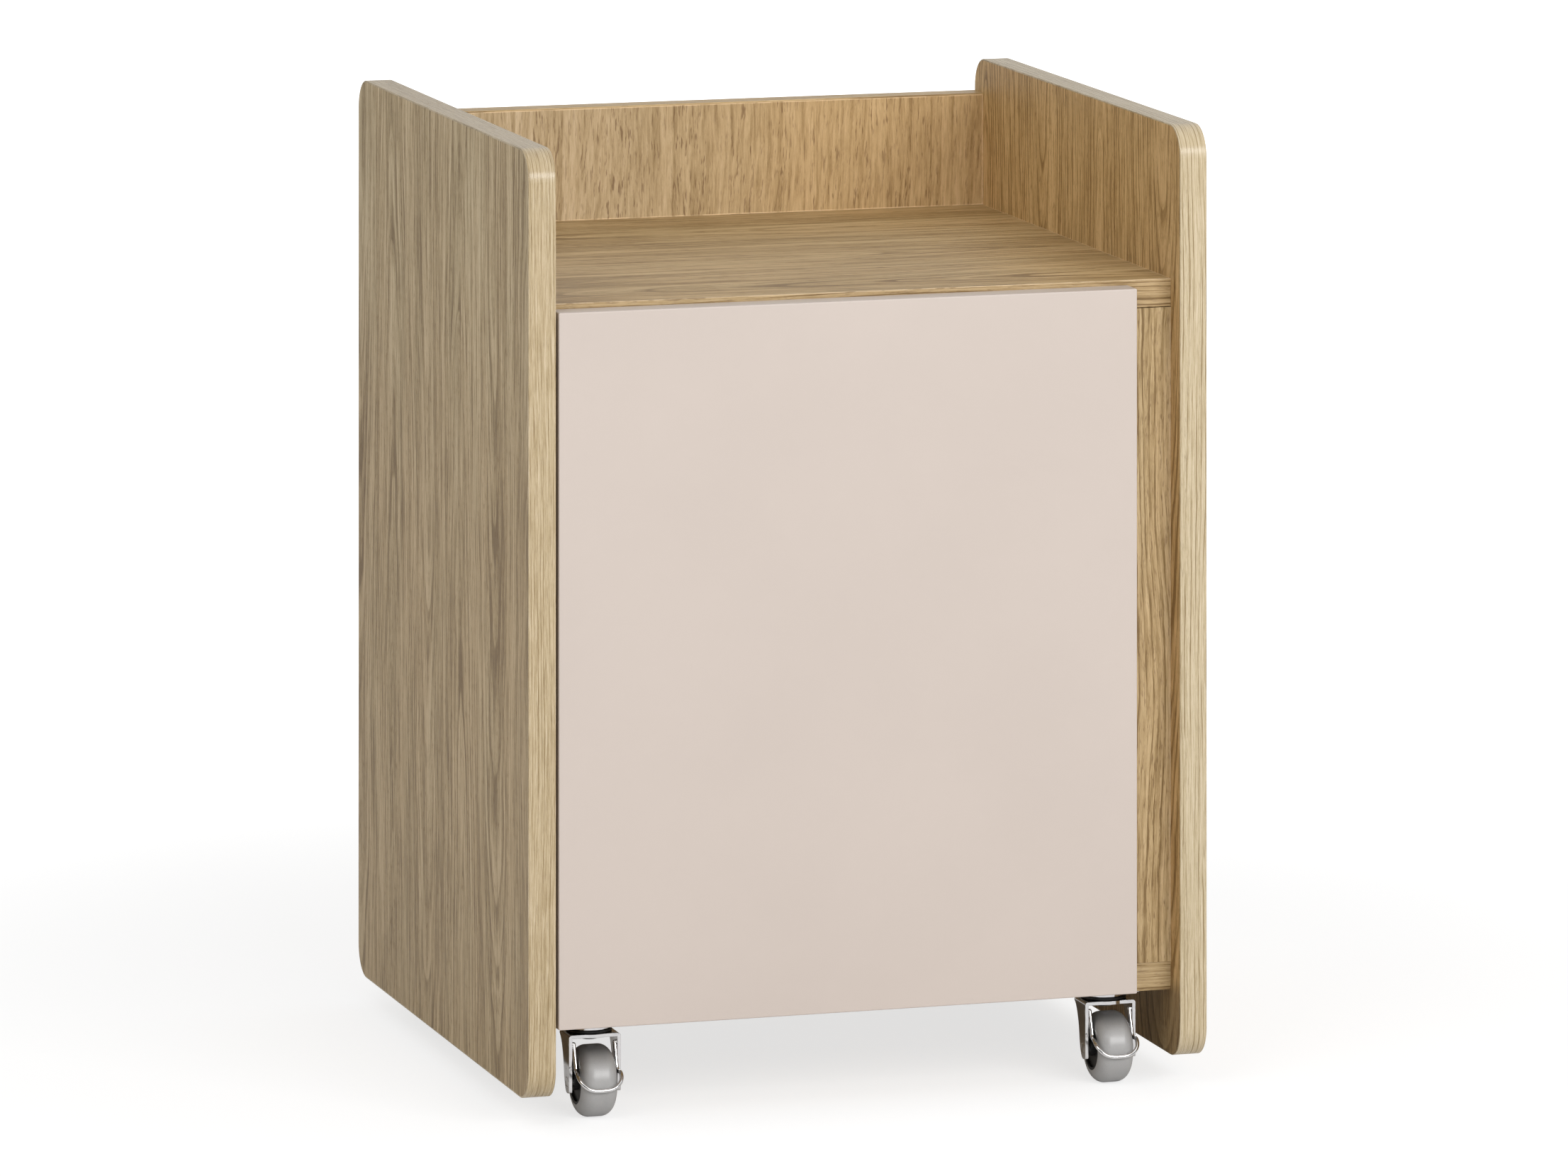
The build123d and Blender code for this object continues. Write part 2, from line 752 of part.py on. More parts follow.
def brake_wire():
    with BuildPart() as wire:
        with BuildLine() as loop:
            Spline(
                [wire_point(-x, y, z) for x, y, z in loop_half] + [wire_point(*loop_middle)]
                + [wire_point(x, y, z) for x, y, z in reversed(loop_half)],
                tangents=((0, -0.36, -0.93), (0, 0.36, 0.93)),
            )
        with BuildSketch(Plane(origin=loop.line @ 0, z_dir=loop.line % 0)):
            Circle(wire_r)
        sweep(path=loop.line)
        for s in (-1, 1):
            chain = [
                wire_point(s * (fork_out + 0.1), brake_y, brake_z),
                wire_point(s * leg_x, brake_y, brake_z),
                wire_point(s * leg_x, *loop_half[0][1:]),
            ]
            for start, end in zip(chain, chain[1:]):
                with BuildSketch(Plane(origin=start, z_dir=end - start)):
                    Circle(wire_r)
                extrude(amount=(end - start).length)
            # Balls that close the bends
            with Locations(*chain[1:]):
                Sphere(wire_r + 0.04)
    return wire.part


def king_pins():
    pin = king_pin()
    with BuildPart() as pins:
        with Locations(*[Location((x, y, 0)) for x, y in caster_xy.values()]):
            add(pin)
    return pins.part


# Countersunk screws with a cross slot in the head
def caster_screws():
    slot_l, slot_w, slot_depth = 3.8, 0.8, 0.9
    with BuildPart() as screws:
        for x, y in caster_xy.values():
            spots = caster_screw_spots(x, y)
            with BuildSketch(Plane.XY.offset(plate_z0)):
                with Locations(*spots):
                    Circle(2.0)
            extrude(amount=plate_t + screw_in)
            with BuildSketch(Plane.XY.offset(plate_z0)):
                with Locations(*spots):
                    Circle(3.7)
            extrude(amount=sink_depth, taper=45)
            with BuildSketch(Plane.XY.offset(plate_z0)):
                with Locations(*spots):
                    Rectangle(slot_l, slot_w)
                    Rectangle(slot_w, slot_l)
            extrude(amount=slot_depth, mode=Mode.SUBTRACT)
    return screws.part


caster_parts = {
    "caster_plate": caster_plate(),
    "swivel_seal": swivel_seal(),
    "fork": fork(),
    "axle": axle(),
    "hub": hub(),
    "tyre": tyre(),
    "brake_wire": brake_wire(),
}
for tag, (x, y) in caster_xy.items():
    for name, part in caster_parts.items():
        # Only the front casters have a brake
        if name != "brake_wire" or tag.startswith("front"):
            save(part.moved(Location((x, y, 0))), f"{name}_{tag}")
save(king_pins(), "king_pins")
save(caster_screws(), "caster_screws")
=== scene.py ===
import math

import bpy
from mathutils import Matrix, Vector


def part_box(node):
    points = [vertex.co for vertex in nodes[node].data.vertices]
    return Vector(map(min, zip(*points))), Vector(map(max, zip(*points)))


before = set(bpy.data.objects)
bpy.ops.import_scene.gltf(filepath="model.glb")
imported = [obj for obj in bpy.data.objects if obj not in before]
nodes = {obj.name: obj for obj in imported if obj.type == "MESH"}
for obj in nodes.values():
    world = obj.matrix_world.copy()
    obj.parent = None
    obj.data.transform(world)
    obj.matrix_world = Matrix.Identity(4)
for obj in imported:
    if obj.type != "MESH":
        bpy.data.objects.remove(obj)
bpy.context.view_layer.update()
scene = bpy.context.scene


# ------------------------------------------------------------------ node helpers
class Graph:
    """A small wrapper that builds shader nodes from plain calls."""

    def __init__(self, name, tree=None):
        if tree is None:
            self.mat = bpy.data.materials.new(name)
            self.mat.use_nodes = True
            tree = self.mat.node_tree
        self.t = tree
        tree.nodes.clear()

    def node(self, kind, inputs=None, **props):
        n = self.t.nodes.new(kind)
        for k, v in props.items():
            setattr(n, k, v)
        for k, v in (inputs or {}).items():
            self.put(n.inputs[k], v)
        return n

    def put(self, socket, v):
        if isinstance(v, bpy.types.NodeSocket):
            self.t.links.new(v, socket)
        elif isinstance(v, (tuple, list)) and socket.type == "RGBA" and len(v) == 3:
            socket.default_value = (*v, 1.0)
        else:
            socket.default_value = v

    def math(self, op, a, b=0.0, c=0.0, clamp=False):
        n = self.node("ShaderNodeMath", operation=op, use_clamp=clamp)
        for i, v in enumerate((a, b, c)):
            if i < len(n.inputs):
                self.put(n.inputs[i], v)
        return n.outputs[0]

    def add(self, a, b):
        return self.math("ADD", a, b)

    def sub(self, a, b):
        return self.math("SUBTRACT", a, b)

    def mul(self, a, b):
        return self.math("MULTIPLY", a, b)

    def xyz(self, x, y, z):
        return self.node("ShaderNodeCombineXYZ", {0: x, 1: y, 2: z}).outputs[0]

    def noise(self, vec, scale=1.0, detail=3.0, rough=0.55, distortion=0.0):
        n = self.node("ShaderNodeTexNoise", {"Vector": vec, "Scale": scale, "Detail": detail,
                                             "Roughness": rough, "Distortion": distortion})
        return n.outputs[0]

    def span(self, v, a, b, lo=0.0, hi=1.0, smooth=True):
        n = self.node("ShaderNodeMapRange", {"Value": v, "From Min": a, "From Max": b, "To Min": lo, "To Max": hi},
                      interpolation_type="SMOOTHSTEP" if smooth else "LINEAR")
        return n.outputs[0]

    def mix(self, fac, a, b, blend="MIX"):
        n = self.node("ShaderNodeMix", data_type="RGBA", blend_type=blend)
        self.put(n.inputs[0], fac)
        self.put(n.inputs[6], a)
        self.put(n.inputs[7], b)
        return n.outputs[2]

    def ramp(self, v, stops):
        n = self.node("ShaderNodeValToRGB", {"Fac": v})
        e = n.color_ramp.elements
        while len(e) < len(stops):
            e.new(0.5)
        for i, (pos, col) in enumerate(stops):
            e[i].position = pos
            e[i].color = (*col, 1.0)
        return n.outputs[0]

    def bump(self, height, strength, distance, normal=None):
        n = self.node("ShaderNodeBump", {"Height": height, "Strength": strength, "Distance": distance})
        if normal is not None:
            self.put(n.inputs["Normal"], normal)
        return n.outputs[0]

    def surface(self, **inputs):
        b = self.node("ShaderNodeBsdfPrincipled")
        for k, v in inputs.items():
            self.put(b.inputs[k.replace("_", " ")], v)
        out = self.node("ShaderNodeOutputMaterial")
        self.t.links.new(b.outputs[0], out.inputs[0])
        return b

    def place(self):
        """Object coordinates in millimetres: the row frame."""
        tc = self.node("ShaderNodeTexCoord")
        s = self.node("ShaderNodeVectorMath", {0: tc.outputs["Object"], 1: (1000, 1000, 1000)}, operation="MULTIPLY")
        sep = self.node("ShaderNodeSeparateXYZ", {0: s.outputs[0]})
        return sep.outputs[0], sep.outputs[1], sep.outputs[2], s.outputs[0]


def scaled(c, k):
    return tuple(min(1.0, x * k) for x in c)


# ------------------------------------------------------------------ wood
def oak(name, along, across, colour, seed=0.0, cell=150.0, warp=1.0, ring=3.4, rings=1.0, fibre=1.0, broad=1.0,
        heart=12.0, figure=(0.0, 300.0, 0.10), pore=0.5, pore_len=7.0, pore_w=0.9, rough=0.46, contrast=1.0, veins=1.0, cool=1.0, band=False,
        arris_highlights=(), arris_highlight_max_y=None, fib_w=2.1, fib_len=62.0, late=0.35, late_w=0.55, streak=0.0, painted_light=(), relief=0.5):
    """Oak decor. Growth rings are cut by the board at a changing distance from the heart,
    which gives straight lines at the sides of a figure and nested arches in it. Fine
    fibre, broad toning and short dark pores lie along the same grain. The highlight list
    gives planes (axis, place) where a painted highlight runs along an arris, and the light
    list gives painted light and shade: slow brighter or darker changes (axis, from, to,
    factor) over the sheet, which may be kept to one face (axis, place)."""
    g = Graph(name)
    x, y, z, _ = g.place()
    axes = {"x": x, "y": y, "z": z}
    if band:
        # the grain runs round the edge of the panel
        L, A, D = g.sub(z, y), x, g.mul(g.add(z, y), 0.02)
    else:
        L, A = axes[along], axes[across]
        D = axes[({"x", "y", "z"} - {along, across}).pop()]
    L = g.add(L, seed * 137.0)
    A = g.add(A, seed * 61.0)
    n1 = g.sub(g.noise(g.xyz(g.mul(A, 1 / 140), g.mul(L, 1 / 420), g.mul(D, 1 / 140)), detail=2.0), 0.5)
    n2 = g.sub(g.noise(g.xyz(g.mul(A, 1 / 24), g.mul(L, 1 / 110), g.add(g.mul(D, 1 / 24), 7.3)), detail=2.0), 0.5)
    n3 = g.sub(g.noise(g.xyz(g.mul(A, 1 / 5), g.mul(L, 1 / 17), g.add(g.mul(D, 1 / 5), 3.9)), detail=2.0), 0.5)
    Aw = g.add(A, g.mul(g.add(g.add(g.mul(n1, 34.0), g.mul(n2, 5.5)), g.mul(n3, 1.3)), warp))
    a0, l0, slope = figure
    u = g.mul(g.sub(Aw, a0 + seed * 61.0 - 0.5 * cell), 1.0 / cell)
    c = g.math("FLOOR", u)
    wn = g.node("ShaderNodeTexWhiteNoise", {"W": g.add(c, seed * 3.3 + 0.37)}, noise_dimensions="1D")
    rnd = g.node("ShaderNodeSeparateXYZ", {0: wn.outputs["Color"]})
    off = g.mul(g.sub(g.sub(u, c), 0.5), cell)
    # arches open one way from l0, and every other board of the decor is turned end for end
    turn = g.sub(1.0, g.mul(g.math("ABSOLUTE", g.math("MODULO", c, 2.0)), 2.0))
    dn = g.noise(g.xyz(g.add(g.mul(c, 3.7), seed), g.mul(L, 1 / 120), 0.5), detail=2.0)
    rise = g.mul(g.mul(g.sub(L, l0 + seed * 137.0), slope), turn)
    dist = g.math("SMOOTH_MAX", g.add(g.add(rise, heart), g.mul(g.sub(dn, 0.5), 9.0)), 5.0, 8.0)
    G = g.math("SQRT", g.add(g.mul(off, off), g.mul(dist, dist)))
    lines = g.noise(g.xyz(g.mul(G, 1 / ring), g.mul(L, 1 / 900), g.add(g.mul(c, 9.1), seed)), detail=5.0, rough=0.72)
    # each ring starts with a crisp dark line and fades into paler late wood
    ph = g.add(g.mul(G, 0.62 / ring), g.mul(g.noise(g.xyz(g.mul(G, 0.16 / ring), g.mul(L, 1 / 500), seed + 2.0),
                                                   detail=1.0), 2.4))
    ringno = g.math("FLOOR", ph)
    saw = g.sub(ph, ringno)
    amp = g.noise(g.xyz(g.mul(ringno, 7.7), g.mul(L, 1 / 90), g.add(g.mul(c, 2.3), seed)), detail=2.0)
    early = g.mul(g.span(amp, 0.36, 0.62, 0.1, 1.0), g.mul(g.span(saw, 0.0, 0.06), g.span(saw, late_w, 0.06)))
    wide = g.noise(g.xyz(g.mul(Aw, 1 / 26), g.mul(L, 1 / 330), seed + 3.1), detail=3.0, rough=0.6)
    fib = g.noise(g.xyz(g.mul(Aw, 1 / fib_w), g.mul(L, 1 / fib_len), g.mul(D, 1 / fib_w)), detail=5.0, rough=0.75)
    tick = g.noise(g.xyz(g.mul(Aw, 1 / pore_w), g.mul(L, 1 / pore_len), g.add(g.mul(D, 1 / pore_w), 11.0)),
                   detail=2.0, rough=0.55)
    # pores gather in the darker early wood
    pm = g.mul(g.span(tick, 0.55, 0.68), g.span(lines, 0.62, 0.40, 0.25, 1.0))
    v = g.add(g.mul(g.sub(lines, 0.5), 1.5 * rings), g.mul(g.sub(fib, 0.5), 1.05 * fibre))
    v = g.add(v, g.mul(g.sub(wide, 0.5), 0.70 * broad))
    v = g.sub(v, g.mul(g.sub(early, 0.4 * late_w), late))
    if streak:
        st = g.noise(g.xyz(g.mul(Aw, 1 / 8), g.mul(L, 1 / 190), g.add(g.mul(D, 1 / 8), seed + 5.0)), detail=3.0, rough=0.65)
        v = g.add(v, g.mul(g.sub(st, 0.5), streak))
    vein = g.noise(g.xyz(g.mul(G, 0.42 / ring), g.mul(L, 1 / 240), g.add(g.mul(c, 5.3), seed + 40.0)), detail=3.0,
                   rough=0.75)
    v = g.sub(v, g.mul(g.span(vein, 0.53, 0.70), 0.30 * veins))
    v = g.add(0.5 + 0.04 * veins, g.mul(v, contrast))
    r, gg, b = colour
    col = g.ramp(v, [(0.14, (r * 0.50, gg * 0.43, b * 0.31)), (0.37, (r * 0.80, gg * 0.765, b * 0.68)),
                     (0.56, (r * 1.05, gg * 1.05, b * 1.05)), (0.86, (r * 1.36, gg * 1.43, b * 1.62))])
    col = g.mix(g.mul(pm, pore), col, (r * 0.36, gg * 0.27, b * 0.20))
    # a slow drift from grey to warm over the board
    drift = g.noise(g.xyz(g.mul(Aw, 1 / 38), g.mul(L, 1 / 280), seed + 21.0), detail=2.0)
    col = g.mix(g.span(drift, 0.38, 0.66, 0.0, 0.5 * cool), col, g.mix(1.0, col, (0.96, 1.0, 1.02), blend="MULTIPLY"))
    # painted light and shade: each entry brightens or darkens the sheet along an axis, standing in for how light falls
    # on it
    for axis, p0, p1, k, *side in painted_light:
        f = g.span(axes[axis], p0, p1)
        if side:
            f = g.mul(f, g.math("LESS_THAN", axes[side[0]], side[1]))
        col = g.mix(f, col, g.mix(1.0, col, k, blend="MULTIPLY"))
    # painted highlight: a pale line where each listed arris catches the light, broken up by noise
    if arris_highlights:
        m = 0.0
        for axis, place in arris_highlights:
            dd = g.math("ABSOLUTE", g.sub(axes[axis], place))
            m = g.math("MAXIMUM", g.span(dd, 0.9, 0.35), m)
        if arris_highlight_max_y is not None:
            m = g.mul(m, g.math("LESS_THAN", axes["y"], arris_highlight_max_y))
        nb = g.noise(g.xyz(g.mul(x, 1 / 9), g.mul(y, 1 / 9), g.mul(z, 1 / 9)), detail=2.0)
        col = g.mix(g.mul(m, g.span(nb, 0.38, 0.55, 0.25, 0.75)), col, (r * 1.6, gg * 1.75, b * 2.2))
    rr = g.add(rough, g.add(g.mul(g.sub(fib, 0.5), 0.18), g.mul(pm, 0.15)))
    h = g.sub(g.add(g.mul(fib, 0.30), g.mul(lines, 0.15)), g.mul(pm, 0.9))
    g.surface(Base_Color=col, Roughness=rr, Normal=g.bump(h, relief, 0.00012), IOR=1.45)
    return g.mat


# ------------------------------------------------------------------ other finishes
def lacquer(name, colour, rough=0.38):
    """Satin melamine: a faint pearl texture, slight cloudiness and a trace of handling."""
    g = Graph(name)
    x, y, z, p = g.place()
    fine = g.noise(p, scale=1.6, detail=2.0, rough=0.5)
    cloud = g.noise(p, scale=1 / 120, detail=3.0, rough=0.55)
    smear = g.noise(g.xyz(g.mul(x, 1 / 60), g.mul(y, 1 / 60), g.mul(z, 1 / 140)), detail=4.0, rough=0.6, distortion=1.2)
    col = g.mix(g.span(cloud, 0.3, 0.7, 0.0, 1.0), scaled(colour, 0.985), scaled(colour, 1.012))
    col = g.mix(g.mul(g.span(fine, 0.35, 0.65), 0.05), col, scaled(colour, 0.93))
    r = g.add(rough, g.add(g.mul(g.sub(fine, 0.5), 0.05), g.mul(g.sub(smear, 0.5), 0.10)))
    nrm = g.bump(fine, 0.10, 0.00006)
    g.surface(Base_Color=col, Roughness=r, Normal=nrm, IOR=1.45)
    return g.mat


def metal(name, colour, rough, brushed=None, smudge=0.10, edge=0.0):
    g = Graph(name)
    x, y, z, p = g.place()
    spots = g.noise(p, scale=0.22, detail=4.0, rough=0.6)
    if brushed:
        k = {a: (1 / 14 if a == brushed else 3.0) for a in "xyz"}
        hair = g.noise(g.xyz(g.mul(x, k["x"]), g.mul(y, k["y"]), g.mul(z, k["z"])), detail=2.0)
    else:
        hair = g.noise(p, scale=3.5, detail=2.0)
    r = g.add(rough, g.add(g.mul(g.span(spots, 0.45, 0.75), smudge), g.mul(g.sub(hair, 0.5), 0.10)))
    col = g.mix(g.span(spots, 0.35, 0.75, 0.0, 1.0), colour, scaled(colour, 0.90))
    args = {}
    if edge:
        bev = g.node("ShaderNodeBevel", {"Radius": edge}, samples=4).outputs[0]
        args["Normal"] = g.bump(hair, 0.05, 0.00003, bev)
    else:
        args["Normal"] = g.bump(hair, 0.05, 0.00003)
    g.surface(Base_Color=col, Metallic=1.0, Roughness=r, **args)
    return g.mat


def rubber(name, colour, rough=0.35):
    """Moulded grey tyre: fine moulding grain, faint scuffs and a soft shine."""
    g = Graph(name)
    x, y, z, p = g.place()
    grain = g.noise(p, scale=2.4, detail=3.0, rough=0.6)
    scuff = g.noise(p, scale=0.10, detail=3.0, rough=0.55, distortion=0.4)
    col = g.mix(g.span(scuff, 0.45, 0.75, 0.0, 0.35), colour, scaled(colour, 0.86))
    col = g.mix(g.mul(g.span(grain, 0.48, 0.7), 0.4), col, scaled(colour, 1.22))
    col = g.mix(g.mul(g.span(grain, 0.46, 0.3), 0.4), col, scaled(colour, 0.8))
    # painted shade: the rubber darkens where ambient occlusion finds parts close by, from 20 mm up, as where the tyre
    # runs up under its fork
    ao = g.node("ShaderNodeAmbientOcclusion", {"Distance": 0.03}, samples=8)
    pos = g.node("ShaderNodeSeparateXYZ", {0: g.node("ShaderNodeNewGeometry").outputs["Position"]})
    shade = g.mul(g.span(ao.outputs["AO"], 0.35, 0.95, 1.0, 0.0), g.span(pos.outputs[2], 0.020, 0.038))
    col = g.mix(shade, col, scaled(colour, 0.36))
    r = g.add(rough, g.add(g.mul(g.sub(grain, 0.5), 0.12), g.mul(g.sub(scuff, 0.5), 0.10)))
    g.surface(Base_Color=col, Roughness=r, Normal=g.bump(grain, 0.2, 0.0001), IOR=1.62)
    return g.mat


def plastic(name, colour, rough=0.42):
    g = Graph(name)
    x, y, z, p = g.place()
    grain = g.noise(p, scale=2.2, detail=3.0, rough=0.6)
    dust = g.noise(p, scale=0.25, detail=4.0, rough=0.6)
    col = g.mix(g.span(dust, 0.45, 0.8, 0.0, 0.5), colour, tuple(min(1, c * 1.3 + 0.008) for c in colour))
    r = g.add(rough, g.mul(g.sub(dust, 0.5), 0.2))
    g.surface(Base_Color=col, Roughness=r, Normal=g.bump(grain, 0.2, 0.00008), IOR=1.47)
    return g.mat


WOOD = (0.49, 0.335, 0.155)


def tint(k):
    return tuple(a * b for a, b in zip(WOOD, k))


def mm(name):
    lo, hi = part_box(name)
    return [v * 1000 for v in lo], [v * 1000 for v in hi]


back_lo, back_hi = mm("back_panel")
top_lo, top_hi = mm("top_shelf")
stile_lo, stile_hi = mm("grip_stile")
inner_x = mm("side_panel_right")[0][0]

# the two side boards get different tints, partly decor and partly painted light: the left cooler and darker, the right
# warmer and brighter, each matched to how its face is lit
mats = {
    # left board: painted light brightens it towards the top; painted shade darkens it towards the bottom, the front
    # strip and the back
    "side_panel_left": oak("oak_side_left", "z", "y", tint((0.870, 0.900, 0.995)), seed=1.0, contrast=1.6, rings=0.6,
                           painted_light=[("z", 330.0, 560.0, (1.09, 1.135, 1.18)), ("z", 330.0, 60.0, (0.925, 0.925, 0.915)),
                                   ("y", -160.0, -200.0, (0.885, 0.875, 0.855)), ("y", 160.0, 205.0, (0.94, 0.94, 0.94))],
                           ring=2.6, fibre=1.5, cell=84.0, figure=(-48.0, 330.0, 0.06), heart=18.0, veins=0.3,
                           pore=0.5, fib_w=1.3, fib_len=46.0, broad=0.5, late=0.24, streak=0.75),
    # right board: painted shade darkens its front strip and the lowest strip of its inner face
    "side_panel_right": oak("oak_side_right", "z", "y", tint((1.08, 1.03, 0.93)), seed=4.0, contrast=1.6, rings=0.6,
                            painted_light=[("y", -110.0, -190.0, (0.89, 0.87, 0.86)),
                                    ("z", 75.0, 58.0, (0.58, 0.58, 0.58), "x", inner_x + 0.5)],
                            ring=2.6, fibre=1.5, cell=120.0, figure=(64.0, 600.0, -0.10), heart=12.0, veins=0.3,
                            pore=0.6, fib_w=1.4, fib_len=34.0, broad=0.6, late=0.36, streak=0.35, cool=0.4),
    # back panel: painted light shifts its tone across its width, lighter towards the left; painted highlights line its
    # edges and the line of the top shelf on its front face
    "back_panel": oak("oak_back", "z", "x", tint((1.07, 1.05, 1.06)), seed=12.0, cell=300.0, ring=4.5, pore=0.8,
                      pore_len=11.0, pore_w=1.1, warp=0.9, fibre=1.1, contrast=0.97, cool=0.4, broad=0.6,
                      veins=0.2, rings=0.4, late=0.20, fib_w=1.6, fib_len=22.0,
                      painted_light=[("x", 90.0, -150.0, (0.95, 1.04, 1.25)), ("x", 110.0, 20.0, (0.95, 0.97, 1.01)),
                              ("x", -20.0, -110.0, (1.03, 1.01, 0.98))],
                      figure=(250.0, 300.0, 0.0), heart=60.0, arris_highlight_max_y=back_lo[1] + 1.0,
                      arris_highlights=[("x", back_hi[0]), ("x", back_lo[0]), ("z", top_hi[2]), ("z", back_hi[2])]),
    # top shelf: painted shade darkens its left part, painted light brightens its right part, and a painted highlight
    # lines its right arris
    "top_shelf": oak("oak_top", "x", "y", tint((0.860, 0.845, 0.815)), seed=2.0, cell=130.0, ring=2.8, pore_len=12.0,
                     contrast=1.3, fibre=1.3, rings=0.8, figure=(-20.0, 100.0, 0.06), heart=14.0, veins=0.4,
                     late=0.40, fib_len=48.0, fib_w=1.5, streak=0.7,
                     painted_light=[("x", -140.0, -50.0, (0.935, 0.925, 0.905)), ("x", 70.0, 140.0, (1.12, 1.11, 1.08))],
                     arris_highlights=[("x", top_hi[0])]),
    "bottom_board": oak("oak_bottom", "x", "y", WOOD, seed=5.0, cell=130.0, ring=2.8, contrast=1.2, fibre=1.3),
    "inner_shelf": oak("oak_inner", "x", "y", WOOD, seed=8.0, cell=130.0, ring=2.8, contrast=1.2, fibre=1.3),
    # a painted highlight lines the stile's right arris
    "grip_stile": oak("oak_stile", "z", "x", tint((0.88, 0.90, 0.94)), seed=9.0, cell=200.0, ring=2.6, pore=0.65,
                      pore_len=8.0, fibre=1.6, contrast=1.15, figure=(110.0, 150.0, 0.0), heart=30.0, veins=0.5,
                        rings=0.5, late=0.5, late_w=0.4, fib_w=1.1, fib_len=30.0,
                      arris_highlights=[("x", stile_hi[0])]),
    "side_edge_band_left": oak("band_left", "z", "x", (0.450, 0.350, 0.212), seed=1.0, cell=200.0, ring=1.3, band=True,
                               heart=8.0, figure=(-270.0, 300.0, 0.0), warp=0.3, rough=0.25, pore=0.4,
                               relief=0.15, pore_len=9.0, pore_w=0.45, contrast=1.15, rings=0.3, fibre=1.3, broad=0.25, veins=0.1,
                               cool=0.5, fib_w=0.6, fib_len=34.0, late=0.30, late_w=0.4),
    "side_edge_band_right": oak("band_right", "z", "x", (0.485, 0.392, 0.250), seed=6.0, cell=200.0, ring=1.7,
                                band=True, heart=8.0, figure=(160.0, 560.0, 0.0), warp=0.45, rough=0.28, pore=0.4,
                                relief=0.15, pore_len=9.0, pore_w=0.45, contrast=1.0, rings=0.2, fibre=1.1, broad=0.25, veins=0.1,
                                cool=0.5, fib_w=0.6, fib_len=40.0, late=0.55, late_w=0.35),
    # a painted highlight lines the top arris of the shelf edge
    "top_shelf_edge": oak("band_shelf", "x", "z", tint((0.80, 0.80, 0.82)), seed=2.0, cell=200.0,
                          figure=(440.0, 0.0, 0.0), ring=2.0, warp=0.4, rough=0.38, contrast=1.5, rings=0.4, late=0.5,
                          late_w=0.4, fib_w=1.0, fib_len=26.0, broad=0.3, veins=0.1, arris_highlights=[("z", top_hi[2])]),
    "bottom_board_edge": oak("band_bottom", "x", "z", tint((0.78, 0.80, 0.84)), seed=3.0, cell=200.0,
                             figure=(0.0, 0.0, 0.0), ring=2.0, warp=0.4, rough=0.38, contrast=1.4, rings=0.4, late=0.5,
                             late_w=0.4, fib_w=1.0, fib_len=26.0, broad=0.3, veins=0.1),
    "inner_shelf_edge": oak("band_inner", "x", "z", WOOD, seed=4.0, cell=200.0, figure=(300.0, 0.0, 0.0), ring=2.0,
                            warp=0.4, rough=0.38, contrast=1.3, rings=0.4, late=0.5, late_w=0.4, fib_w=1.0,
                            fib_len=26.0, broad=0.3, veins=0.1),
    "back_panel_edge": oak("band_back", "x", "y", WOOD, seed=5.0, cell=200.0, figure=(300.0, 0.0, 0.0), ring=2.0,
                           warp=0.4, rough=0.38, contrast=1.3, rings=0.4, late=0.5, late_w=0.4, fib_w=1.0,
                           fib_len=26.0, broad=0.3, veins=0.1),
    "door_panel": lacquer("pink_face", (0.542, 0.468, 0.418)),
    "door_edge_band": lacquer("pink_edge", (0.542, 0.468, 0.418), rough=0.34),
    "dowels": oak("dowel_wood", "x", "y", (0.60, 0.45, 0.28), seed=3.0, cell=40.0, ring=3.0),
}
chrome = metal("chrome", (0.80, 0.80, 0.81), 0.10, edge=0.0004)
wire = metal("chrome_wire", (0.82, 0.82, 0.82), 0.12)
zinc = metal("zinc", (0.66, 0.67, 0.68), 0.32, smudge=0.15)
nickel = metal("nickel", (0.72, 0.71, 0.68), 0.24, brushed="y", edge=0.0003)
black = plastic("black_plastic", (0.008, 0.008, 0.008), rough=0.5)
tyre = rubber("grey_tyre", (0.36, 0.355, 0.35))
bump_mat = rubber("clear_bumper", (0.62, 0.62, 0.60))
for n, o in nodes.items():
    if n in mats:
        m = mats[n]
    elif n.startswith("tyre"):
        m = tyre
    elif n.startswith(("hub", "swivel_seal")):
        m = black
    elif n.startswith("brake_wire"):
        m = wire
    elif n.startswith(("fork", "caster_plate", "axle", "king")):
        m = chrome
    elif n.startswith("hinge_") and not n.endswith("screws"):
        m = nickel
    elif n == "door_bumpers":
        m = bump_mat
    else:
        m = zinc
    for s in o.material_slots:
        s.material = m

# ------------------------------------------------------------------ floor
floor_mesh = bpy.data.meshes.new("floor")
S = 30.0
floor_mesh.from_pydata([(-S, -S, 0), (S, -S, 0), (S, S, 0), (-S, S, 0)], [], [(0, 1, 2, 3)])
floor = bpy.data.objects.new("floor", floor_mesh)
scene.collection.objects.link(floor)
g = Graph("floor_pale")
geo = g.node("ShaderNodeNewGeometry")
ps = g.node("ShaderNodeSeparateXYZ", {0: geo.outputs["Position"]})
r2 = g.math("SQRT", g.add(g.mul(ps.outputs[0], ps.outputs[0]), g.mul(ps.outputs[1], ps.outputs[1])))
far = g.span(r2, 0.45, 2.2, 0.0, 0.6)
dif = g.node("ShaderNodeBsdfDiffuse", {"Color": (0.86, 0.86, 0.86, 1.0)})
dif_cam = g.node("ShaderNodeBsdfDiffuse", {"Color": (0.344, 0.344, 0.344, 1.0)})
emi = g.node("ShaderNodeEmission", {"Color": (1, 1, 1, 1), "Strength": g.add(far, 0.72)})
lp = g.node("ShaderNodeLightPath")
lift = g.node("ShaderNodeAddShader", {0: dif_cam.outputs[0], 1: emi.outputs[0]})
pick = g.node("ShaderNodeMixShader", {0: lp.outputs["Is Camera Ray"], 1: dif.outputs[0], 2: lift.outputs[0]})
out = g.node("ShaderNodeOutputMaterial")
g.t.links.new(pick.outputs[0], out.inputs[0])
